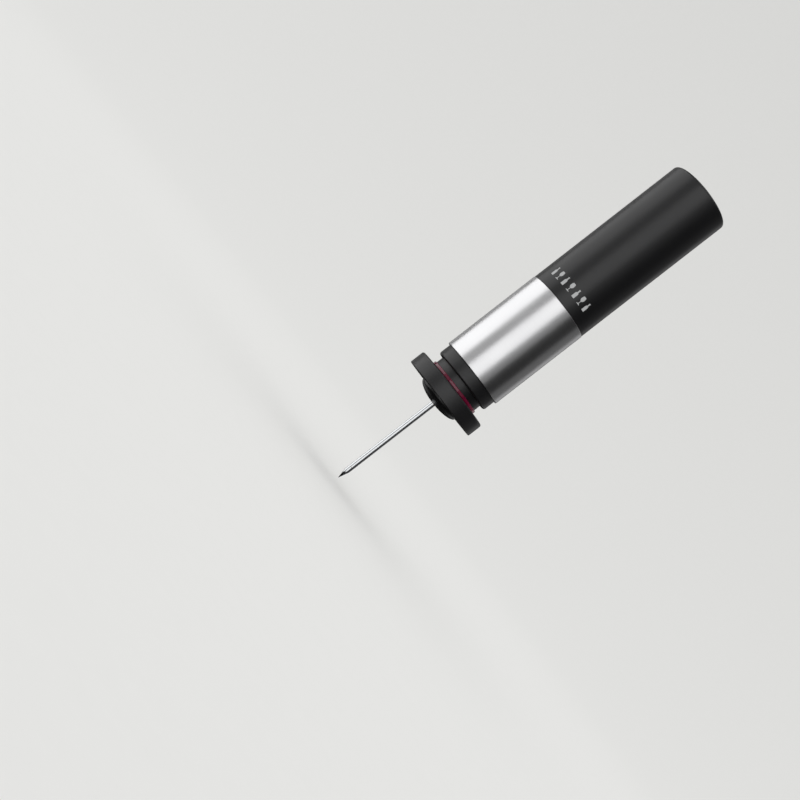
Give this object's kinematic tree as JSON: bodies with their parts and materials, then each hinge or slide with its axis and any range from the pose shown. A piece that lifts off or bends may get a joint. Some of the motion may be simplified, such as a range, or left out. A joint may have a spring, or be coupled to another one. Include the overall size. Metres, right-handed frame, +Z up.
{
  "type": "electric wine opener",
  "caption": "Slim battery-driven air-pressure wine opener with hollow needle, sliding needle guard with wide grip flange, domed nose pad and power button in the end.",
  "frame": {"origin": "tip of the domed nose pad, on the axis, where it rests on the cork in the bottle's mouth", "axes": "+Z up the axis from the nose to the power button, the needle points along -Z; +Y towards the charging port; +X to the right when the port faces away"},
  "size_m": [0.0466, 0.0466, 0.2269],
  "materials": {
    "sleeve_black": "satin soft-touch coating",
    "band_steel": "brushed round the axis",
    "guard_black": "fine matte moulding",
    "accent_red": "glossy crimson silicone",
    "nose_rubber": "smooth black rubber",
    "seal_rubber": "black nitrile",
    "bush_acetal": "natural acetal",
    "liner_grey": "grey moulded nylon",
    "button_black": "fine matte moulding",
    "light_milky": "translucent white polycarbonate",
    "screw_steel": "zinc-plated steel",
    "machined_steel": "ground steel",
    "needle_steel": "drawn and polished stainless steel",
    "brass": "turned",
    "bronze": "sintered bronze",
    "cast_alloy": "die cast",
    "frame_grey": "glass-filled nylon",
    "casing_grey": "moulded",
    "gear_acetal": "moulded acetal",
    "motor_zinc": "zinc-plated drawn steel",
    "motor_cap": "moulded nylon",
    "ferrite": "sintered ferrite",
    "winding_copper": "enamelled copper wire on laminations",
    "cell_wrap": "heat-shrink film",
    "nickel": "nickel strip",
    "board_green": "solder mask",
    "chip_black": "moulded epoxy",
    "led_yellow": "phosphor",
    "wire_red": "PVC insulation"
  },
  "bodies": {
    "housing": {"sleeve": "sleeve_black", "band": "band_steel", "collar": "guard_black", "liner": "liner_grey", "guide_bush": "bush_acetal", "drag_ring": "seal_rubber", "light_ring": "light_milky", "usb_port": "machined_steel", "bulkhead": "frame_grey", "bulkhead_screws": "screw_steel", "core_shell_front": "casing_grey", "core_shell_rear": "casing_grey", "shell_screws": "screw_steel", "motor_can": "motor_zinc", "motor_end_cap": "motor_cap", "motor_magnets": "ferrite", "motor_screws": "screw_steel", "pump_frame": "frame_grey", "axle_bush": "bronze", "compressor_cylinder": "cast_alloy", "head_screws": "screw_steel", "pump_head": "cast_alloy", "outlet_spring": "machined_steel", "relief_spring": "machined_steel", "relief_plug": "brass", "needle_hub": "brass", "hub_seal": "seal_rubber", "needle": "needle_steel", "battery_cell": "cell_wrap", "battery_carrier": "casing_grey", "battery_tabs": "nickel", "main_board": "board_green", "board_parts": "chip_black", "top_board": "board_green", "tact_switch": "chip_black", "status_leds": "led_yellow", "board_screws": "screw_steel", "wiring": "wire_red"},
    "guard": {"guard_tube": "guard_black", "grip_flange": "guard_black", "accent_ring": "accent_red", "nose_pad": "nose_rubber", "stop_ring": "machined_steel", "guard_screws": "screw_steel"},
    "button": {"power_button": "button_black", "switch_plunger": "chip_black"},
    "cover": {"port_cover": "nose_rubber"},
    "rotor": {"motor_armature": "winding_copper", "motor_shaft": "machined_steel", "pinion": "brass"},
    "crank": {"crank_gear": "gear_acetal", "crank_axle": "machined_steel", "axle_clip": "machined_steel"},
    "piston_group": {"piston": "gear_acetal", "piston_seal": "seal_rubber", "wrist_pin": "machined_steel"},
    "rod_group": {"con_rod": "gear_acetal", "crank_pin": "machined_steel"},
    "valve_disc": {"outlet_valve": "seal_rubber"},
    "safety_ball": {"relief_ball": "machined_steel"}
  },
  "joints": [
    {"name": "guard_slide", "type": "slide", "parent": "housing", "child": "guard", "axis": [0, 0, -1], "range_m": [0, 0.062]},
    {"name": "button_press", "type": "slide", "parent": "housing", "child": "button", "axis": [0, 0, -1], "range_m": [0, 0.0005], "stiffness_N_per_m": 2000, "springref_m": -0.0005},
    {"name": "port_cover_hinge", "type": "hinge", "parent": "housing", "child": "cover", "pos_m": [0, 0.0182, 0.1333], "axis": [-1, 0, 0], "range_deg": [0, 90]},
    {"name": "crank_spin", "type": "hinge", "parent": "housing", "child": "crank", "pos_m": [0, 0.008, 0.048], "axis": [0, 1, 0], "continuous": true},
    {"name": "motor_spin", "type": "hinge", "parent": "housing", "child": "rotor", "pos_m": [0, 0, 0.056], "axis": [0, 0, 1], "continuous": true},
    {"name": "piston_slide", "type": "slide", "parent": "housing", "child": "piston_group", "axis": [0, 0, -1], "range_m": [0, 0.007]},
    {"name": "rod_swing", "type": "hinge", "parent": "piston_group", "child": "rod_group", "pos_m": [0, 0, 0.0355], "axis": [0, 1, 0], "range_deg": [-12.6, 12.6]},
    {"name": "outlet_valve_lift", "type": "slide", "parent": "housing", "child": "valve_disc", "axis": [0, 0, -1], "range_m": [0, 0.0005], "stiffness_N_per_m": 60, "springref_m": -0.0004, "deforming": ["outlet_spring"]},
    {"name": "relief_ball_lift", "type": "slide", "parent": "housing", "child": "safety_ball", "axis": [0, 0, -1], "range_m": [0, 0.0004], "stiffness_N_per_m": 1500, "springref_m": -0.0006, "deforming": ["relief_spring"]}
  ],
  "couplings": [
    {"joint": "motor_spin", "follows": "crank_spin", "ratio": -4}
  ]
}
